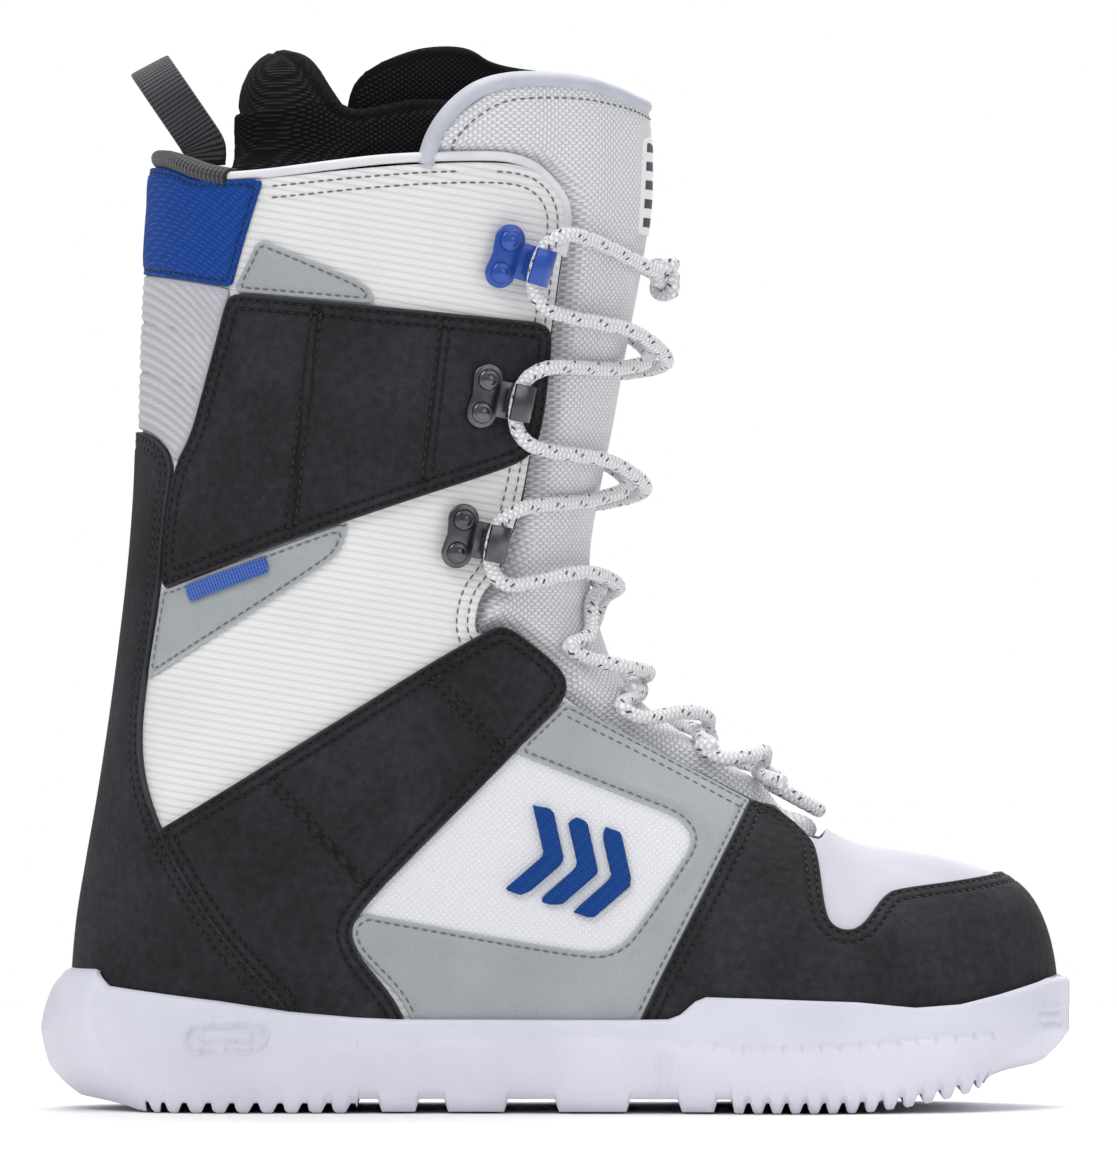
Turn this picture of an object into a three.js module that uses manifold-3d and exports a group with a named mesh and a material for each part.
// A right-foot lace-up snowboard boot, built as an assembly of separate solids.
// Millimetres, +Z up, toe towards +X, lateral (outer) side towards -Y.
// The upper is drawn once, as a smooth closed skin around the foot and shaft. Every textile or
// leather piece is a slice of that skin between two depths, cut out by its own side-view outline.
import * as THREE from 'three';
import Module from 'manifold-3d';
import { mergeVertices } from 'three/addons/utils/BufferGeometryUtils.js';

const wasm = await Module();
wasm.setup();

// ---------------------------------------------------------------- driving dimensions
const UPPER_LENGTH = 295.7; // toe tip to the back of the heel
const SHAFT_HEIGHT = 284; // floor to the top of the collar
const HEEL_WIDTH = 86;
const WAIST_WIDTH = 85;
const BALL_WIDTH = 105;
const ANKLE_WIDTH = 90;
const COLLAR_WIDTH = 108;

const GAP = 0.3; // running gap between pieces that are sewn or glued together
const SEAM = 0.5; // gap between panels that meet edge to edge
const SKIN_WALL = 1.3; // quarter and vamp material
const OVERLAY_WALL = 1.3; // stitched-on panels
const STRAP_WALL = 2.1; // the two padded straps
const LINING_WALL = 3.2; // foam and lining of the shell
const TONGUE_WALL = 5.4;
const LINER_WALL = 8;
const LINER_CLEARANCE = 2.2; // the liner slides in and out of the shell
const LINER_TONGUE_WALL = 5;
const BOARD_WALL = 2;
const LINER_SOLE_WALL = 5;
const FOOTBED_WALL = 4;
const BINDING_HEIGHT = 3.6;
const STIFFENER_WALL = 1.4; // heel cup and toe puff

const SOLE_WALL = 3.6; // how far the sole stands outside the upper
const HEEL_LIP = 5; // the sole's heel stands further back than its sides stand out
const SOLE_BED = 23; // floor to the underside of the lasting board
const HEEL_TOOTH = { pitch: 7.2, depth: 3 };
const FOREFOOT_TOOTH = { pitch: 5.7, depth: 3.2 };

const LACE_DIAMETER = 4.5;
const LACE_CLEARANCE = 0.45;
const LACE_STAND = 0.5; // the lace arches a little over the padded tongue
const HOOK_METAL = 1.4;
const HOOK_WIDTH = 11;
const RIVET_RADIUS = 3.3;
const RIVET_SPACING = 10;
const LOOP_WEBBING = { width: 13, thickness: 1.8, halfSpan: 15, height: 29 };

// The outlines below are drawn for this nominal length and height and stretched to the real ones.
const NOMINAL = { length: 295.7, height: 284, soleTop: 30 };
const stretchX = UPPER_LENGTH / NOMINAL.length;
const stretchZ = (SHAFT_HEIGHT - NOMINAL.soleTop) / (NOMINAL.height - NOMINAL.soleTop);
const realX = (x) => x * stretchX;
const realZ = (z) => (z > NOMINAL.soleTop ? NOMINAL.soleTop + (z - NOMINAL.soleTop) * stretchZ : z);
const drawn = (points) => points.map(([x, z]) => [realX(x), realZ(z)]);

// ---------------------------------------------------------------- small maths
const clamp = (v, low, high) => Math.min(high, Math.max(low, v));
const mix = (a, b, t) => a + (b - a) * t;
const smooth = (low, high, v) => {
  const t = clamp((v - low) / (high - low), 0, 1);
  return t * t * (3 - 2 * t);
};

function along(knots, v) {
  let i = 1;
  while (i < knots.length - 1 && v > knots[i][0]) i += 1;
  const [x0, y0] = knots[i - 1];
  const [x1, y1] = knots[i];
  return mix(y0, y1, smooth(x0, x1, v));
}

// quarter of an ellipse: 0 on the silhouette, 1 at and beyond the rounding depth
const rounded = (depth) => (depth >= 1 ? 1 : Math.sqrt(Math.max(0, 1 - (1 - depth) ** 2)));

// ---------------------------------------------------------------- the skin of the boot
// Each rib of the skin runs from the back or bottom line to the front or top line, side view.
const UNDER = -24; // the walls run straight down to here, through the sole's well
const RIBS = [
  // front line          back line
  [[16, 380], [-56, 380]], [[27, 312], [-96, 313]], [[28.5, 298], [-105, 300]],
  [[28.7, 290], [-107.5, 290.5]],
  [[28.8, 284], [-120.6, 285]], [[28.3, 268], [-122.8, 268]], [[25, 247], [-124, 249]],
  [[21, 226], [-125, 228]], [[17.3, 205], [-125.6, 205]], [[13.5, 186], [-126.3, 184]],
  [[10.5, 168], [-128, 162]], [[10.7, 153], [-130.5, 140]], [[13.8, 142], [-133.5, 117]],
  [[18, 131.5], [-137, 94]], [[25.5, 122], [-140.5, 74]], [[37, 113.2], [-143.5, 55]],
  [[48, 106.3], [-145, 34]], [[57.5, 100.5], [-145.2, 6]], [[66, 95.4], [-142, UNDER]],
  [[74, 89.8], [-98, UNDER]], [[81.5, 84.6], [-65, UNDER]], [[89, 80.8], [-30, UNDER]],
  [[98, 79], [2, UNDER]], [[108, 77.5], [34, UNDER]], [[118, 75.5], [64, UNDER]],
  [[127.5, 72.8], [92, UNDER]], [[136, 69], [115, UNDER]], [[142.5, 63], [131, UNDER]],
  [[147, 54], [142, UNDER]], [[149.6, 43], [148, UNDER]], [[150.5, 30], [150.5, UNDER]],
];
const TOE_TIP = 150.5;
const RIB_STEPS = 8; // points from the back line to the front line on each side
const INNER_RIB_STEPS = 6;
const INFLARE = 8; // how far the toe tip turns inwards

const footHalfWidth = (x) => along([[-145, HEEL_WIDTH / 2 - 2], [-110, HEEL_WIDTH / 2],
  [-30, WAIST_WIDTH / 2], [30, WAIST_WIDTH / 2 + 3], [75, BALL_WIDTH / 2],
  [112, BALL_WIDTH / 2 - 2], [150, BALL_WIDTH / 2 - 5]], x);
const shaftHalfWidth = (z) => along([[100, ANKLE_WIDTH / 2], [150, ANKLE_WIDTH / 2],
  [210, mix(ANKLE_WIDTH, COLLAR_WIDTH, 0.5) / 2], [284, COLLAR_WIDTH / 2],
  [327, COLLAR_WIDTH / 2 + 1]], z);
const frontDepth = (x, z) => mix(along([[0, 64], [45, 58], [80, 50], [120, 40], [150, 34]], x),
  along([[130, 64], [180, 72], [327, 74]], z), smooth(100, 150, z));
const backDepth = (z) => along([[30, 50], [110, 54], [284, 62], [327, 55]], z);

const frontLine = RIBS.map(([front]) => front);
const backLine = RIBS.map(([, back]) => back).filter((point, i) => i < 18);

function distanceToLine(line, x, z) {
  let best = Infinity;
  for (let i = 1; i < line.length; i += 1) {
    const [ax, az] = line[i - 1];
    const [bx, bz] = line[i];
    const length2 = (bx - ax) ** 2 + (bz - az) ** 2;
    const t = clamp(((x - ax) * (bx - ax) + (z - az) * (bz - az)) / length2, 0, 1);
    best = Math.min(best, Math.hypot(x - ax - t * (bx - ax), z - az - t * (bz - az)));
  }
  return best;
}

function lineAt(line, value, from, to) {
  for (let i = 1; i < line.length; i += 1) {
    const a = line[i - 1][from];
    const b = line[i][from];
    if ((value - a) * (value - b) <= 0 && a !== b) {
      return mix(line[i - 1][to], line[i][to], (value - a) / (b - a));
    }
  }
  return value > line[0][from] === line[0][from] > line[line.length - 1][from]
    ? line[0][to] : line[line.length - 1][to];
}

// half width of the boot at a point of the side view
function halfWidth(x, z) {
  const width = mix(footHalfWidth(x), shaftHalfWidth(z), smooth(45, 125, z));
  const forward = smooth(70, 110, x);
  const topHeight = x > 60 ? lineAt(frontLine.slice(17), x, 0, 1) : 0;
  const depth = forward === 0 ? distanceToLine(frontLine, x, z)
    : mix(distanceToLine(frontLine, x, z), Math.max(0, topHeight - z), forward);
  const reach = mix(frontDepth(x, z), clamp(topHeight - 34, 6, frontDepth(x, z)), forward);
  const back = Math.max(0, x - lineAt(backLine, z, 1, 0));
  const toe = Math.max(0, TOE_TIP - x);
  return width * rounded(depth / reach) * rounded(back / backDepth(z)) * rounded(toe / 72);
}
const centreShift = (x) => INFLARE * smooth(35, TOE_TIP, x);

// side: -1 lateral, +1 medial
const skinPoint = (x, z, side) => new THREE.Vector3(
  realX(x), centreShift(x) + side * halfWidth(x, z), realZ(z));

function skinMesh(ribs, ribSteps) {
  const rings = ribs.map(([[fx, fz], [bx, bz]]) => {
    const ring = [];
    for (const side of [-1, 1]) {
      for (let i = 0; i <= ribSteps; i += 1) {
        const step = side < 0 ? i : ribSteps - i;
        const t = (1 - Math.cos((Math.PI * step) / ribSteps)) / 2;
        const onFront = step === ribSteps;
        const point = skinPoint(mix(bx, fx, t), mix(bz, fz, t), side);
        if (onFront) point.y = centreShift(fx);
        ring.push(point);
      }
    }
    return ring;
  });
  const positions = [];
  const quad = (a, b, c, d) => positions.push(a, b, c, a, c, d);
  for (let r = 1; r < rings.length; r += 1) {
    const [upper, lower] = [rings[r - 1], rings[r]];
    const count = upper.length;
    for (let i = 0; i < count; i += 1) {
      const next = (i + 1) % count;
      quad(upper[i], lower[i], lower[next], upper[next]);
    }
  }
  for (const [ring, flip] of [[rings[0], false], [rings[rings.length - 1], true]]) {
    const count = ring.length;
    for (let i = 0; i < count / 2 - 1; i += 1) {
      const [a, b, c, d] = [ring[i], ring[i + 1], ring[count - 2 - i], ring[count - 1 - i]];
      if (flip) quad(d, c, b, a);
      else quad(a, b, c, d);
    }
  }
  const geometry = new THREE.BufferGeometry().setFromPoints(positions);
  return mergeVertices(geometry, 1e-3);
}

function cleanTriangles(geometry) {
  const index = geometry.getIndex().array;
  const kept = [];
  for (let i = 0; i < index.length; i += 3) {
    const [a, b, c] = [index[i], index[i + 1], index[i + 2]];
    if (a !== b && b !== c && c !== a) kept.push(a, b, c);
  }
  return new Uint32Array(kept);
}

function skinModel(ribs, ribSteps) {
  const geometry = skinMesh(ribs, ribSteps);
  const triangles = cleanTriangles(geometry);
  const positions = geometry.getAttribute('position').array;
  const normals = vertexNormals(positions, triangles);
  return { positions, triangles, normals, moved: new Map() };
}
const outerSkin = skinModel(RIBS, RIB_STEPS);
// the removable liner follows the same form more coarsely
const innerRibs = RIBS.filter((rib, i) => i < 5 || i % 2 === 0 || i >= RIBS.length - 4);
const innerSkin = skinModel(innerRibs, INNER_RIB_STEPS);

function vertexNormals(positions, triangles) {
  const normals = new Float64Array(positions.length);
  const [a, b, c] = [new THREE.Vector3(), new THREE.Vector3(), new THREE.Vector3()];
  for (let i = 0; i < triangles.length; i += 3) {
    const corners = [triangles[i], triangles[i + 1], triangles[i + 2]];
    a.fromArray(positions, corners[0] * 3);
    b.fromArray(positions, corners[1] * 3).sub(a);
    c.fromArray(positions, corners[2] * 3).sub(a);
    b.cross(c);
    for (const corner of corners) {
      normals[corner * 3] += b.x;
      normals[corner * 3 + 1] += b.y;
      normals[corner * 3 + 2] += b.z;
    }
  }
  for (let i = 0; i < normals.length; i += 3) {
    const size = Math.hypot(normals[i], normals[i + 1], normals[i + 2]) || 1;
    for (let k = 0; k < 3; k += 1) normals[i + k] /= size;
  }
  return normals;
}

// ---------------------------------------------------------------- solids
const solidOf = (positions, triangles) => new wasm.Manifold(new wasm.Mesh({
  numProp: 3, vertProperties: Float32Array.from(positions), triVerts: Uint32Array.from(triangles),
}));

// the closed skin moved outwards by `rise` (inwards when negative)
function bodyAt(rise, skin = outerSkin) {
  const key = rise.toFixed(4);
  if (!skin.moved.has(key)) {
    const moved = Float64Array.from(skin.positions, (v, i) => v + skin.normals[i] * rise);
    skin.moved.set(key, solidOf(moved, skin.triangles));
  }
  return skin.moved.get(key);
}
const layer = (from, to, skin = outerSkin) => bodyAt(to, skin).subtract(bodyAt(from, skin));

function fromGeometry(source) {
  const geometry = source.index ? source.toNonIndexed() : source.clone();
  geometry.deleteAttribute('normal');
  geometry.deleteAttribute('uv');
  const merged = mergeVertices(geometry, 1e-4);
  return solidOf(merged.getAttribute('position').array, cleanTriangles(merged));
}

function insetPolygon(points, distance) {
  const area = points.reduce((sum, [x, z], i) => {
    const [nx, nz] = points[(i + 1) % points.length];
    return sum + x * nz - nx * z;
  }, 0);
  const turn = Math.sign(area);
  return points.map(([x, z], i) => {
    const [px, pz] = points[(i + points.length - 1) % points.length];
    const [nx, nz] = points[(i + 1) % points.length];
    const into = new THREE.Vector2(x - px, z - pz).normalize();
    const out = new THREE.Vector2(nx - x, nz - z).normalize();
    const a = new THREE.Vector2(-into.y, into.x).multiplyScalar(turn);
    const b = new THREE.Vector2(-out.y, out.x).multiplyScalar(turn);
    const bisector = a.clone().add(b).normalize();
    const reach = distance / Math.max(0.35, bisector.dot(a));
    return [x + bisector.x * reach, z + bisector.y * reach];
  });
}

const REACH_Y = 90;
// a side-view outline swept across Y
function prism(points, y0 = -REACH_Y, y1 = REACH_Y) {
  const shape = new THREE.Shape(points.map(([x, z]) => new THREE.Vector2(x, z)));
  const geometry = new THREE.ExtrudeGeometry(shape, { depth: y1 - y0, bevelEnabled: false, steps: 1 });
  geometry.rotateX(Math.PI / 2);
  geometry.translate(0, y1, 0);
  return fromGeometry(geometry);
}
const sidePrism = (points, side) => (side < 0
  ? prism(points, -REACH_Y, -SEAM / 2) : prism(points, SEAM / 2, REACH_Y));
const slab = (z0, z1) => prism([[-200, z0], [200, z0], [200, z1], [-200, z1]]);
const grown = (points, by) => insetPolygon(points, -by);

// a skin slice cut by an outline, on one side or right round
const panel = (points, from, to, side = 0) => {
  const outline = insetPolygon(drawn(points), SEAM / 2);
  const cutter = side === 0 ? prism(outline) : sidePrism(outline, side);
  return layer(from, to).intersect(cutter);
};

// ---------------------------------------------------------------- depths of the layers
const skinTop = -OVERLAY_WALL - GAP;
const skinFloor = skinTop - SKIN_WALL;
const liningTop = skinFloor - GAP;
const liningFloor = liningTop - LINING_WALL;
const tongueTop = -0.8;
const tongueFloor = liningFloor - GAP - TONGUE_WALL;
const linerTop = liningFloor - GAP - LINER_CLEARANCE;
const linerFloor = linerTop - LINER_WALL;
const boardTop = SOLE_BED + BOARD_WALL;
const linerBottom = boardTop + GAP;
const footbedBottom = linerBottom + LINER_SOLE_WALL + GAP;

// ---------------------------------------------------------------- side-view outlines
const BELOW = 16; // well under the sole's top edge
const BEYOND = 170; // well outside the boot

const throatEdge = [[81, 81.3], [75.3, 82.6], [66, 91.2], [57.8, 93.8], [2.5, 122.6], [2.6, 127.6], [-0.8, 132.5],
  [-13.8, 142.9], [-18.5, 143.2], [-24, 141.3],
  [-22.5, 153], [-17, 158.5], [-9.5, 180], [-6.8, 196.1], [-2, 220.5], [0.9, 243], [3.8, 262],
  [3.3, 270], [-1, 277]];
const collarEdge = [[-8, 281], [-20, 280.6], [-47, 279.2], [-87, 275], [-107.5, 274.6],
  [-112, 277.5], [-121, 281]];
const vampSeam = [[57.8, 93.6], [24.3, 28.6], [19.5, BELOW]];

const quarterOutline = [...throatEdge.slice(3), ...collarEdge, [-BEYOND, 281], [-BEYOND, BELOW],
  [19.5, BELOW], [24.3, 28.6]];
const vampOutline = [[83.5, 95], ...throatEdge.slice(0, 4), [24.3, 28.6], [19.5, BELOW],
  [BEYOND, BELOW], [BEYOND, 95]];
const shellOutline = [[83.5, 95], ...throatEdge, ...collarEdge, [-BEYOND, 281], [-BEYOND, BELOW],
  [BEYOND, BELOW], [BEYOND, 95]];

const tongueOutline = [[-37.8, 284.3], [-31.8, 294.3], [-21.8, 301.5], [-12, 304], [10, 304],
  [24.5, 300.5], [34, 293], [60, 250], [60, 150], [110, 100], [92, 74], [72, 76], [52, 85],
  [-6, 114], [-27, 128], [-37, 143], [-34, 162], [-24, 182], [-18, 220], [-14, 262], [-24, 276]];
const tongueBindingOutline = [[-40.8, 285.5], [-34.5, 297.5], [-23.5, 306], [-12, 308], [11, 308],
  [27, 304], [38, 295], [34.4, 293.2], [24.8, 300.9], [10, 304.5], [-12, 304.5], [-21.9, 302],
  [-32.2, 294.6], [-38.2, 284.4]];

const counterEdge = [[-79.2, BELOW], [-79.2, 30.3], [-84.8, 36.4], [-97, 49.9], [-108, 65.8],
  [-116.6, 80.5], [-123.3, 97.6], [-124.8, 112], [-123, 128.6], [-118.4, 158.5], [-117.2, 174],
  [-114.7, 191.8]];
const counterOutline = [...counterEdge, [-117.2, 198.5], [-125.9, 203.8], [-BEYOND, 205],
  [-BEYOND, BELOW]];
const achillesOutline = [[-114.4, 192.6], [-109.1, 200.9], [-105.7, 213.5], [-101.1, 230.1],
  [-97.4, 244.5], [-124.6, 249.6], [-BEYOND, 256], [-BEYOND, 206], [-125.6, 204.6],
  [-117.4, 199.2]];
const collarPanelOutline = [[-97, 245], [-92.8, 260], [-87.3, 275], [-107.5, 274.6], [-112, 277.5],
  [-121, 281], [-BEYOND, 281], [-BEYOND, 256.6], [-124.6, 250.2]];
const collarRollOutline = [[-105, 275.8], [-107.7, 281], [-114.8, 286.5], [-121, 288],
  [-BEYOND, 288], [-BEYOND, 282], [-121, 282], [-112.6, 278.2]];

const heelCupOutline = [[-92, BELOW], [-92, 36], [-112, 88], [-BEYOND, 92], [-BEYOND, BELOW]];
const toePuffOutline = [[112, BELOW], [116, 90], [BEYOND, 90], [BEYOND, BELOW]];

const upperStrapOutline = [[-98.3, 239], [-97, 242.4], [-94, 243], [-4, 234.2], [-1.2, 232],
  [-2, 220.5], [-4.2, 203.2], [-7.5, 194.5], [-18, 190], [-41, 182.6], [-80, 169.4],
  [-117.2, 155.6], [-116.4, 174], [-113.6, 191.8], [-108.4, 200.9], [-104.9, 213.5],
  [-100.4, 230.1]];
const upperPatchOutline = [[-96.3, 244.1], [-92.2, 251.5], [-88.7, 258.8], [-60, 247.2],
  [-55, 243.8], [-54.2, 240.2]];
const lowerPatchOutline = [[-117.6, 154.6], [-61.6, 174.7], [-63.9, 167.1], [-68.5, 162.5],
  [-121.9, 129], [-120.4, 140]];
const lowerStrapOutline = [[-116, 84.6], [-103.1, 92.7], [-65, 116], [-38.6, 132.5], [-18, 144],
  [-13.6, 143.6], [-0.1, 133.1], [3.2, 127.6], [2.2, 122.6], [-12.9, 106.2], [-34.4, 84.6],
  [-56, 62.7], [-61.5, 54], [-59, 47.1], [-45, 30], [-42.2, BELOW], [-78.4, BELOW],
  [-78.4, 30.8], [-84, 37], [-96.2, 50.4], [-107.2, 66.3]];
const windowOutline = [[-12.6, 106.9], [12, 97.2], [37, 87.4], [41.1, 81.2], [23.2, 53.6],
  [17, 48.1], [7.4, 47.4], [-58.8, 58.8], [-34, 83.8]];
const sideOverlayOutline = [[2.8, 121.9], [57.4, 93], [24.3, 28.6], [19.5, BELOW], [-41.6, BELOW],
  [-41.6, 30.5], [-58.4, 47.6], [-60.6, 53.4], [-58.8, 58.4], [7.4, 46.9], [17.3, 47.6],
  [23.7, 53.3], [41.7, 81.3], [37.4, 88], [12, 97.8], [-12.2, 107.4]];
const toeOverlayOutline = [[57.8, 92.4], [65.7, 90.4], [75.4, 82.1], [78, 77], [79.8, 59.4],
  [82.4, 55.4], [86.8, 54.1], [91.2, 55.9], [97.4, 64.7], [101.8, 66.4], [120.2, 68.4], [137, 71],
  [BEYOND, 80], [BEYOND, BELOW], [20.3, BELOW], [25.1, 28.6]];

const emblemOutline = [[-17, 88], [-9, 94], [4, 91], [22, 78], [23, 70], [16, 58], [8, 55.5],
  [-7, 63], [-17, 76]];
const wovenTabOutline = [[-110.1, 156.6], [-86, 165.2], [-85.2, 160.4], [-109, 151.4]];
const patchOutline = [[25, 262], [60, 262], [60, 290], [24.6, 290]];

const linerOutline = [[-200, 276], [-112, 276], [-103, 282], [-97.7, 292], [-92, 308],
  [-86.4, 315.5], [-80.5, 317.2], [-75, 315], [-67.5, 303.5], [-62, 296.6], [-50, 299],
  [-40, 301], [-20, 299], [80, 280], [BEYOND, 100], [BEYOND, BELOW], [-BEYOND - 30, BELOW]];
const linerTongueOutline = [[-62, 306], [-55, 311.6], [-44, 315.4], [-33.2, 316.9],
  [-24.5, 316.1], [-18, 311], [10, 311], [80, 280], [80, 90], [40, 78], [-10, 100], [-40, 140],
  [-50, 200], [-56, 260], [-64, 290]];

// ---------------------------------------------------------------- materials
const finish = (color, roughness, metalness = 0) => (
  new THREE.MeshStandardMaterial({ color, roughness, metalness }));
const FINISH = {
  quarter: () => finish('#e4e2e2', 0.85),
  grey: () => finish('#a3aaac', 0.55),
  black: () => finish('#2b2b2e', 0.6),
  blue: () => finish('#184298', 0.6),
  mesh: () => finish('#dedede', 0.9),
  ripstop: () => finish('#bebec3', 0.8),
  lining: () => finish('#26262a', 0.95),
  foam: () => finish('#d8d6e2', 0.65),
  board: () => finish('#b49c78', 0.9),
  metal: () => finish('#55585e', 0.3, 0.9),
  painted: () => finish('#1f4fae', 0.35, 0.4),
  lace: () => finish('#ececea', 0.9),
};

const boot = new THREE.Group();
function add(name, solid, material) {
  const { numProp, vertProperties, triVerts } = solid.getMesh();
  const positions = new Float32Array((vertProperties.length / numProp) * 3);
  for (let i = 0; i < positions.length / 3; i += 1) {
    positions.set(vertProperties.slice(i * numProp, i * numProp + 3), i * 3);
  }
  const geometry = new THREE.BufferGeometry();
  geometry.setAttribute('position', new THREE.BufferAttribute(positions, 3));
  geometry.setIndex(new THREE.BufferAttribute(Uint32Array.from(triVerts), 1));
  geometry.computeVertexNormals();
  const mesh = new THREE.Mesh(geometry, material);
  mesh.name = name;
  boot.add(mesh);
  return mesh;
}

// keeps the biggest solid of a cut that leaves slivers
function biggest(solid) {
  const pieces = solid.decompose();
  pieces.sort((a, b) => b.volume() - a.volume());
  return pieces[0];
}
const SIDES = [['lateral', -1], ['medial', 1]];

// ---------------------------------------------------------------- upper
function buildShell() {
  const floor = slab(boardTop + GAP, 400);
  const lining = layer(liningFloor, liningTop).intersect(prism(grown(drawn(shellOutline), -0.8)))
    .intersect(floor);
  // the heel cup and the toe puff lie in pockets between the lining and the outer material
  const pocket = (outline) => layer(liningTop - STIFFENER_WALL - GAP, liningTop + 1)
    .intersect(prism(grown(drawn(outline), GAP)));
  const stiffener = (outline) => layer(liningTop - STIFFENER_WALL, liningTop)
    .intersect(prism(drawn(outline))).intersect(floor);
  const lined = lining.subtract(pocket(heelCupOutline)).subtract(pocket(toePuffOutline));
  add('shell_lining', biggest(lined), FINISH.lining());
  add('heel_cup', biggest(stiffener(heelCupOutline)), FINISH.board());
  add('toe_puff', biggest(stiffener(toePuffOutline)), FINISH.board());
  const boardZone = bodyAt(skinFloor - GAP).intersect(slab(SOLE_BED, boardTop));
  add('lasting_board', boardZone, FINISH.board());
  const upperFloor = slab(SOLE_BED, 400);
  for (const [word, side] of SIDES) {
    const quarter = panel(quarterOutline, skinFloor, skinTop, side).intersect(upperFloor);
    add(`quarter_${word}`, biggest(quarter), FINISH.quarter());
  }
  const vamp = panel(vampOutline, skinFloor, skinTop).intersect(upperFloor);
  add('vamp', biggest(vamp), FINISH.quarter());
}

function buildOverlays() {
  const upperFloor = slab(SOLE_BED, 400);
  const overlay = (name, outline, material, side = 0, top = 0) => {
    const solid = panel(outline, -OVERLAY_WALL, top, side).intersect(upperFloor);
    add(name, biggest(solid), material);
  };
  overlay('heel_counter', counterOutline, FINISH.black(), 0, 0.3);
  overlay('achilles_panel', achillesOutline, FINISH.ripstop());
  overlay('collar_panel', collarPanelOutline, FINISH.blue());
  overlay('toe_overlay', toeOverlayOutline, FINISH.black(), 0, 0.3);
  for (const [word, side] of SIDES) {
    const strapTop = STRAP_WALL - OVERLAY_WALL;
    overlay(`upper_strap_${word}`, upperStrapOutline, FINISH.black(), side, strapTop);
    overlay(`lower_strap_${word}`, lowerStrapOutline, FINISH.black(), side, strapTop);
    overlay(`upper_patch_${word}`, upperPatchOutline, FINISH.grey(), side);
    overlay(`lower_patch_${word}`, lowerPatchOutline, FINISH.grey(), side);
    overlay(`side_window_${word}`, windowOutline, FINISH.ripstop(), side);
    overlay(`side_overlay_${word}`, sideOverlayOutline, FINISH.grey(), side);
    const emblem = panel(emblemOutline, GAP, GAP + 1, side);
    add(`emblem_${word}`, biggest(emblem), FINISH.blue());
  }
}

// the fabric tape that closes the collar's raw edge
function bindingOutline() {
  const top = drawn([...throatEdge.slice(-2), ...collarEdge.slice(0, 4), [-103.4, 274.7]]);
  return [...top.map(([x, z]) => [x, z + GAP / 2]),
    ...top.slice().reverse().map(([x, z]) => [x + 0.6, z + BINDING_HEIGHT])];
}

function buildCollar() {
  const roll = layer(liningFloor, 0.6).intersect(prism(drawn(collarRollOutline)));
  add('collar_roll', biggest(roll), FINISH.black());
  for (const [word, side] of SIDES) {
    const binding = layer(liningFloor, 0.4).intersect(sidePrism(bindingOutline(), side));
    add(`collar_binding_${word}`, biggest(binding), FINISH.quarter());
  }
}

// the space that the shell's walls take, for pieces that tuck in behind them
const shellZone = () => bodyAt(8).subtract(bodyAt(liningFloor - GAP))
  .intersect(prism(grown(drawn(shellOutline), 4 * GAP)).add(prism(grown(bindingOutline(), 2 * GAP))));

function buildTongue() {
  const zone = shellZone();
  const tongue = layer(tongueFloor, tongueTop).intersect(prism(drawn(tongueOutline)));
  add('tongue', biggest(tongue.subtract(zone)), FINISH.mesh());
  const binding = layer(tongueFloor, tongueTop).intersect(prism(drawn(tongueBindingOutline)));
  add('tongue_binding', biggest(binding.subtract(zone)), FINISH.quarter());
  const front = prism(drawn(patchOutline), -9, 9);
  const patch = layer(tongueTop + GAP, tongueTop + GAP + 0.8).intersect(front);
  add('tongue_patch', biggest(patch), FINISH.quarter());
}

// ---------------------------------------------------------------- inside
function buildInside() {
  const tongueZone = prism(grown(drawn(tongueBindingOutline.slice(0, 7).concat(
    tongueOutline.slice(6))), 2 * GAP)).subtract(bodyAt(tongueFloor - GAP));
  const liner = bodyAt(linerTop, innerSkin).intersect(prism(drawn(linerOutline)))
    .subtract(tongueZone)
    .intersect(slab(linerBottom, 400));
  const cavity = bodyAt(linerFloor, innerSkin).intersect(slab(linerBottom + LINER_SOLE_WALL, 400));
  const throat = prism(drawn([[-30, 330], [-22, 250], [-26, 160], [10, 118], [60, 92], [120, 120],
    [120, 330]]), -17, 17);
  add('liner', biggest(liner.subtract(cavity).subtract(throat)), FINISH.lining());
  const innerZone = layer(linerFloor - GAP - LINER_TONGUE_WALL, linerFloor - GAP, innerSkin);
  const linerTongue = innerZone.intersect(prism(drawn(linerTongueOutline), -34, 34))
    .intersect(slab(realZ(86), 400));
  add('liner_tongue', biggest(linerTongue), FINISH.lining());
  const footbed = bodyAt(linerFloor - GAP, innerSkin)
    .intersect(slab(footbedBottom, footbedBottom + FOOTBED_WALL));
  add('footbed', biggest(footbed), FINISH.blue());
}

// ---------------------------------------------------------------- sole
function sawTeeth(from, to, pitch, depth, base) {
  const count = Math.round((to - from) / pitch);
  const step = (to - from) / count;
  const points = [];
  for (let i = 0; i < count; i += 1) {
    const x = from + i * step;
    points.push([x + step * 0.16, base(x)], [x + step * 0.5, base(x)]);
    points.push([x + step * 0.72, base(x) + depth], [x + step * 0.94, base(x) + depth]);
  }
  return points;
}

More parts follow.
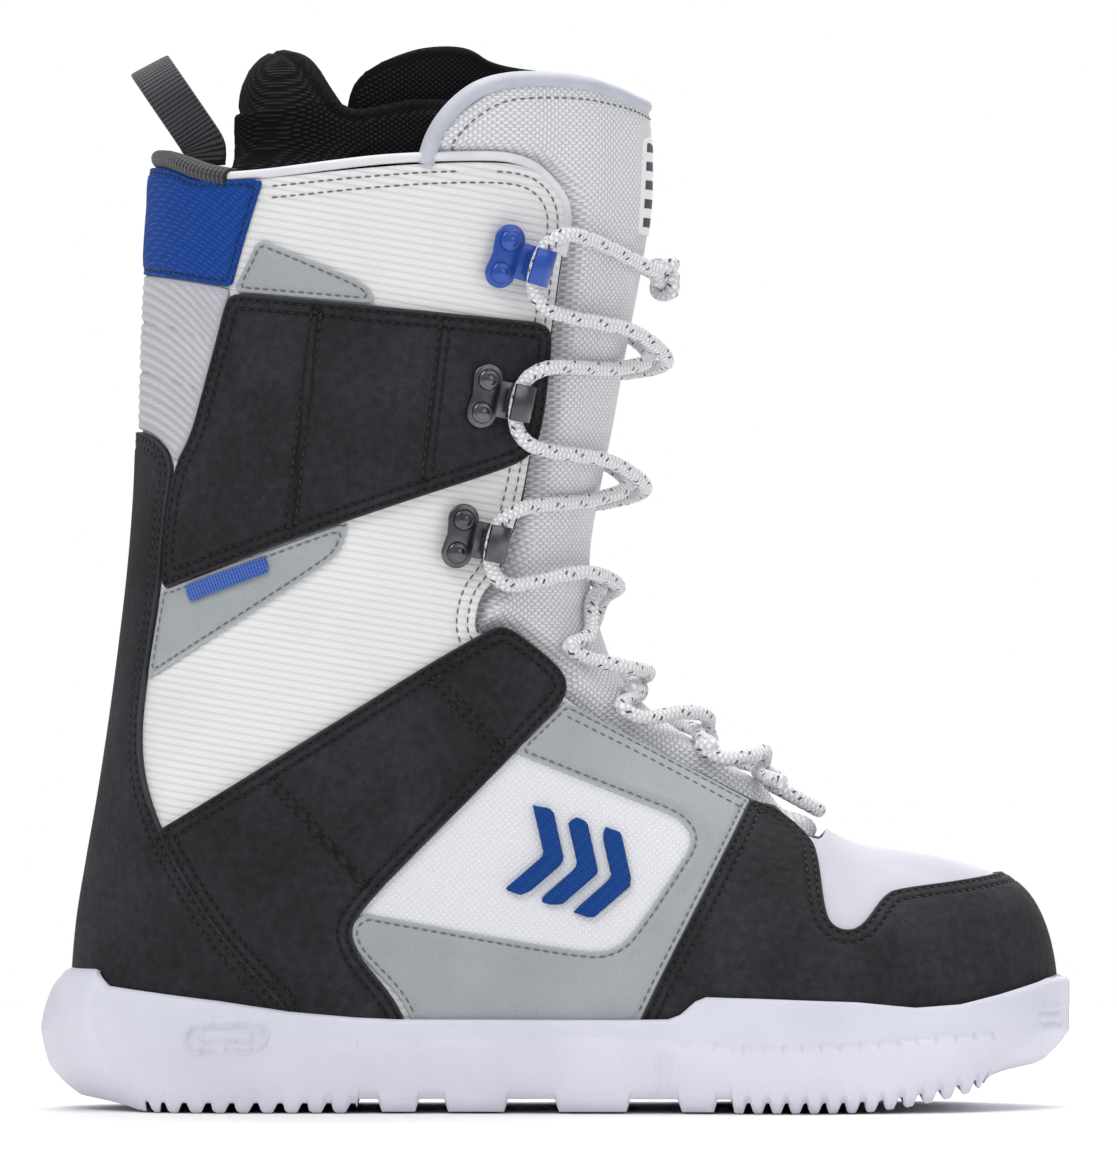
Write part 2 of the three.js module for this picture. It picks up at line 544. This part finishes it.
function soleProfile() {
  const toeSpring = (x) => 8.6 * clamp((x - 84) / 50, 0, 1) ** 1.8;
  const flat = () => 0;
  const lugs = [[-53, -40.7], [-33.3, -14.4], [-0.6, 21.9], [35.8, 47.5]];
  const lugPoints = lugs.flatMap(([a, b]) => [[a, 4.2], [a + 1.2, 0.4], [b - 1.2, 0.4], [b, 4.2]]);
  return [
    [-141.9, 40.8], [-144.6, 42.5], [-148, 41.1], [-150.8, 34.3], [-153.6, 23.9],
    [-152.2, 18.4], [-148.7, 12.2], [-143.9, 8.2], [-135.7, 3.6],
    ...sawTeeth(-131, -59, HEEL_TOOTH.pitch, HEEL_TOOTH.depth, flat),
    ...lugPoints, [51, 3.4],
    ...sawTeeth(52, 132, FOREFOOT_TOOTH.pitch, FOREFOOT_TOOTH.depth, toeSpring),
    [136, 10], [145.8, 14], [150.6, 19], [153.4, 23], [153, 38.5], [151, 40], [148.6, 39],
    [132.9, 34.7], [120.9, 32], [107, 31.2], [89.5, 33], [63, 34], [43.7, 34.5], [40.9, 33.2],
    [35.8, 28.4], [-47, 27.7], [-79.2, 30.1], [-99.8, 33.2], [-120.5, 35.6], [-137.7, 37.4],
  ].map(([x, z]) => [realX(x), z]);
}

function buildSole() {
  const plan = [];
  const PLAN_STEPS = 26;
  const PLAN_HEIGHT = 38;
  for (const side of [-1, 1]) {
    for (let i = 0; i <= PLAN_STEPS; i += 1) {
      const step = side < 0 ? i : PLAN_STEPS - i;
      const t = (1 - Math.cos((Math.PI * step) / PLAN_STEPS)) / 2;
      const x = mix(-145, TOE_TIP, t);
      if (side > 0 && (i === 0 || i === PLAN_STEPS)) continue;
      const point = skinPoint(x, PLAN_HEIGHT, side);
      plan.push([point.x - HEEL_LIP * smooth(-90, -145, x) ** 2, point.y]);
    }
  }
  const outward = insetPolygon(plan, -SOLE_WALL);
  const shape = new THREE.Shape(outward.map(([x, y]) => new THREE.Vector2(x, y)));
  const block = fromGeometry(new THREE.ExtrudeGeometry(shape, { depth: 60, bevelEnabled: false }));
  const profile = prism(soleProfile());
  const well = bodyAt(STRAP_WALL - OVERLAY_WALL + GAP).intersect(slab(SOLE_BED - GAP, 90));
  add('sole_unit', biggest(block.intersect(profile).subtract(well)), FINISH.foam());
}

// ---------------------------------------------------------------- lace hooks
// Each hook's frame: u forwards across the plate, v up along it, n out of the boot.
const HOOKS = [
  { row: 1, at: [-15.8, 254.2], lean: -0.28, painted: true },
  { row: 2, at: [-21.9, 212.8], lean: -0.2, painted: false },
  { row: 3, at: [-29.2, 171.3], lean: -0.2, painted: false },
];
const HOOK_SEAT = STRAP_WALL - OVERLAY_WALL + GAP;

function surfaceNormal(x, z, side) {
  const h = 1.5;
  const du = skinPoint(x + h, z, side).sub(skinPoint(x - h, z, side));
  const dv = skinPoint(x, z + h, side).sub(skinPoint(x, z - h, side));
  const n = du.cross(dv).normalize();
  return n.y * side > 0 ? n : n.negate();
}

function hookFrame({ at: [x, z], lean }, side) {
  const n = surfaceNormal(x, z, side);
  const up = new THREE.Vector3(Math.sin(-lean), 0, Math.cos(lean));
  const v = up.clone().addScaledVector(n, -up.dot(n)).normalize();
  const u = new THREE.Vector3().crossVectors(v, n).multiplyScalar(side).normalize();
  if (u.x < 0) u.negate();
  const origin = skinPoint(x, z, side);
  let seat = -Infinity;
  for (const [a, b] of [[0, 0], [0, 9], [0, -9], [9, 6], [9, -6], [5, 0], [-5, 6], [-5, -6]]) {
    const probe = skinPoint(x + a + b * Math.sin(-lean), z + b, side);
    seat = Math.max(seat, probe.sub(origin).dot(n));
  }
  origin.addScaledVector(n, seat + HOOK_SEAT);
  return new THREE.Matrix4().makeBasis(u, v, n).setPosition(origin);
}
const placed = (solid, frame) => {
  const { numProp, vertProperties, triVerts } = solid.getMesh();
  const point = new THREE.Vector3();
  const moved = [];
  for (let i = 0; i < vertProperties.length; i += numProp) {
    point.fromArray(vertProperties, i).applyMatrix4(frame);
    moved.push(point.x, point.y, point.z);
  }
  const triangles = Array.from(triVerts);
  if (frame.determinant() < 0) {
    for (let i = 0; i < triangles.length; i += 3) {
      [triangles[i + 1], triangles[i + 2]] = [triangles[i + 2], triangles[i + 1]];
    }
  }
  return solidOf(moved, triangles);
};

const HOOK_THROAT = LACE_DIAMETER + 2 * LACE_CLEARANCE;
const HOOK_REACH = 14.2; // from the rivets to the outside of the bend
const LACE_IN_HOOK = HOOK_REACH - HOOK_METAL - LACE_CLEARANCE - LACE_DIAMETER / 2;

function hookSolid() {
  const plate = new THREE.Shape();
  const r = 4.7;
  const half = RIVET_SPACING / 2;
  plate.absarc(0, half, r, 0, Math.PI, false);
  plate.absarc(0, -half, r, Math.PI, 2 * Math.PI, false);
  const base = new THREE.ExtrudeGeometry(plate, { depth: HOOK_METAL, bevelEnabled: false, curveSegments: 5 });
  const outer = HOOK_THROAT / 2 + HOOK_METAL;
  const inner = HOOK_THROAT / 2;
  const bend = HOOK_REACH - outer;
  const side = new THREE.Shape();
  side.moveTo(2, 0);
  side.lineTo(bend, 0);
  side.absarc(bend, outer, outer, -Math.PI / 2, Math.PI / 2, false);
  side.lineTo(bend - 3.6, 2 * outer + 0.5);
  side.lineTo(bend - 3.6, 2 * outer - HOOK_METAL + 0.5);
  side.lineTo(bend, outer + inner);
  side.absarc(bend, outer, inner, Math.PI / 2, -Math.PI / 2, true);
  side.lineTo(2, HOOK_METAL);
  const curl = new THREE.ExtrudeGeometry(side, { depth: HOOK_WIDTH, bevelEnabled: false, curveSegments: 4 });
  curl.rotateX(Math.PI / 2);
  curl.translate(0, HOOK_WIDTH / 2, 0);
  return fromGeometry(base).add(fromGeometry(curl));
}

function rivetSolid() {
  const dome = [[0, HOOK_METAL + GAP], [RIVET_RADIUS, HOOK_METAL + GAP],
    [RIVET_RADIUS * 0.86, HOOK_METAL + GAP + 0.9], [0, HOOK_METAL + GAP + 1.5]];
  const lathe = new THREE.LatheGeometry(dome.map(([r, h]) => new THREE.Vector2(r, h)), 8);
  lathe.rotateX(Math.PI / 2);
  return fromGeometry(lathe);
}

function buildHooks() {
  const hook = hookSolid();
  const rivet = rivetSolid();
  for (const [word, side] of SIDES) {
    for (const spec of HOOKS) {
      const frame = hookFrame(spec, side);
      const material = spec.painted ? FINISH.painted() : FINISH.metal();
      add(`lace_hook_${word}_${spec.row}`, placed(hook, frame), material);
      for (const [place, v] of [['upper', 1], ['lower', -1]]) {
        const shift = new THREE.Matrix4().makeTranslation(0, (v * RIVET_SPACING) / 2, 0);
        const at = frame.clone().multiply(shift);
        add(`rivet_${word}_${spec.row}_${place}`, placed(rivet, at), material.clone());
      }
    }
  }
}

// ---------------------------------------------------------------- lace
const over = LACE_DIAMETER / 2 + LACE_CLEARANCE;
// a longer or taller boot, or a thicker lace, bridges higher over the tongue
const laceStand = LACE_STAND * Math.max(stretchX, stretchZ);
const thicker = LACE_DIAMETER - 4.5;
// points in front of the tongue, as side view position and which strand lies on top
const CROSSINGS = [[25.5, 225], [19, 187], [10.8, 156], [21.5, 125.5], [41, 110.8], [58.5, 100]];
const EYELETS = [[-2, 138.5], [14, 120], [37.5, 107.5], [58.5, 96.5]];
const LACE_BAR = [77.5, 87.6];
const KNOT = { at: [26.5, 250], radii: [6.5, 9, 7] };

function frontNormal(x, z) {
  let best = Infinity;
  let normal = null;
  for (let i = 1; i < frontLine.length; i += 1) {
    const [ax, az] = frontLine[i - 1];
    const [bx, bz] = frontLine[i];
    const gap = Math.hypot(x - (ax + bx) / 2, z - (az + bz) / 2);
    if (gap < best) {
      best = gap;
      normal = new THREE.Vector3(-(bz - az), 0, bx - ax).normalize();
    }
  }
  return normal;
}

function frontPoint([x, z], rise, y = 0) {
  const point = new THREE.Vector3(realX(x), y, realZ(z));
  return point.addScaledVector(frontNormal(x, z), rise);
}

// on the flank of the tongue, at a share of the way round from the front
function flankPoint(x, z, side, rise) {
  return skinPoint(x, z, side).addScaledVector(surfaceNormal(x, z, side), rise);
}

function hookPoints(spec, side) {
  const frame = hookFrame(spec, side);
  const n = HOOK_METAL + HOOK_THROAT / 2;
  const local = (u, v, w) => new THREE.Vector3(u, v, w).applyMatrix4(frame);
  const reach = HOOK_WIDTH / 2 + 0.6;
  return [
    local(LACE_IN_HOOK + 5, reach + 5, n - 0.5), local(LACE_IN_HOOK, reach, n),
    local(LACE_IN_HOOK, -reach, n), local(LACE_IN_HOOK + 5, -reach - 5, n - 0.5),
  ];
}

function eyeletPoints([x, z], side) {
  const rise = tongueTop + over + laceStand - 0.5 * thicker;
  return [flankPoint(x + 6, z + 3, side, rise), flankPoint(x, z - 1, side, rise),
    flankPoint(x + 6, z - 4.5, side, rise)];
}

// the route between a hook or eyelet and the crossing, lying on the tongue
const wrap = ([ax, az], [bx, bz], side, share, rise) => (
  flankPoint(mix(ax, bx, share), mix(az, bz, share), side, rise));

function strand(startSide) {
  const points = [];
  let side = startSide;
  const rows = [...HOOKS.map((spec) => ({ at: [spec.at[0] + 14, spec.at[1]], make: (s) => hookPoints(spec, s) })),
    ...EYELETS.map((at) => ({ at: [at[0] + 4, at[1]], make: (s) => eyeletPoints(at, s) }))];
  rows.forEach((row, i) => {
    points.push(...row.make(side));
    if (i >= CROSSINGS.length) return;
    const crossing = CROSSINGS[i];
    const onTop = (i % 2 === 0) === (startSide < 0);
    const lying = tongueTop + over + laceStand + 1.2 * thicker;
    const rise = lying + (onTop ? LACE_DIAMETER + 0.8 : 0);
    points.push(wrap(row.at, crossing, side, 0.72, mix(lying, rise, 0.7)));
    points.push(frontPoint(crossing, rise));
    points.push(wrap(rows[i + 1].at, crossing, -side, 0.72, mix(lying, rise, 0.7)));
    side = -side;
  });
  return points;
}

// a path whose samples fall on the chosen points
class Route extends THREE.CatmullRomCurve3 {
  getPointAt(t, target) {
    return this.getPoint(t, target);
  }

  getTangentAt(t, target) {
    return this.getTangent(t, target);
  }
}

function buildLace() {
  const knotCentre = frontPoint(KNOT.at, KNOT.radii[0] + tongueTop + GAP);
  const knot = new THREE.SphereGeometry(1, 10, 8);
  knot.scale(KNOT.radii[0], KNOT.radii[1], KNOT.radii[2]);
  knot.translate(knotCentre.x, knotCentre.y, knotCentre.z);
  add('lace_knot', fromGeometry(knot), FINISH.lace());
  const start = (side) => knotCentre.clone().add(
    new THREE.Vector3(-1.5, side * (KNOT.radii[1] + GAP + 0.5), 1));
  const first = strand(-1);
  const second = strand(1).reverse();
  const bar = frontPoint(LACE_BAR, tongueTop + over);
  const route = [start(-1), ...first, bar, ...second, start(1)];
  const path = new Route(route, false, 'centripetal');
  const section = new THREE.Shape();
  const SIDES_OF_SECTION = 8;
  for (let i = 0; i < SIDES_OF_SECTION; i += 1) {
    const a = (2 * Math.PI * i) / SIDES_OF_SECTION;
    const r = LACE_DIAMETER / 2;
    if (i === 0) section.moveTo(r, 0);
    else section.lineTo(r * Math.cos(a), r * Math.sin(a));
  }
  const steps = route.length - 1;
  const tube = new THREE.ExtrudeGeometry(section, { steps, bevelEnabled: false, extrudePath: path });
  add('lace', fromGeometry(tube), FINISH.lace());
}

// ---------------------------------------------------------------- pull loop and woven tab
function buildPullLoop() {
  const { width, thickness, halfSpan, height } = LOOP_WEBBING;
  const arch = (r) => {
    const points = [[r, 0]];
    const straight = height - halfSpan;
    for (let i = 0; i <= 10; i += 1) {
      const a = (Math.PI * i) / 10;
      points.push([r * Math.cos(a), straight + r * Math.sin(a)]);
    }
    points.push([-r, 0]);
    return points;
  };
  const outline = [...arch(halfSpan), ...arch(halfSpan - thickness).reverse()];
  const shape = new THREE.Shape(outline.map(([y, z]) => new THREE.Vector2(y, z)));
  const band = new THREE.ExtrudeGeometry(shape, { depth: width, bevelEnabled: false });
  band.translate(0, 0, -width / 2);
  // the arch's plane turns to face along X, then leans back
  band.rotateX(Math.PI / 2);
  band.rotateZ(Math.PI / 2);
  band.rotateY(-0.6);
  band.translate(realX(-106), 0, realZ(288.6));
  add('pull_loop', fromGeometry(band), FINISH.black());
}

function buildWovenTab() {
  const tab = layer(GAP, GAP + 0.9).intersect(sidePrism(drawn(wovenTabOutline), -1));
  add('woven_tab', biggest(tab), FINISH.blue());
}

buildShell();
buildOverlays();
buildCollar();
buildTongue();
buildInside();
buildSole();
buildHooks();
buildLace();
buildPullLoop();
buildWovenTab();

// the origin is on the floor under the middle of the whole boot
const bounds = new THREE.Box3().setFromObject(boot);
const middle = bounds.getCenter(new THREE.Vector3());
boot.position.set(-middle.x, -middle.y, -bounds.min.z);

export default boot;
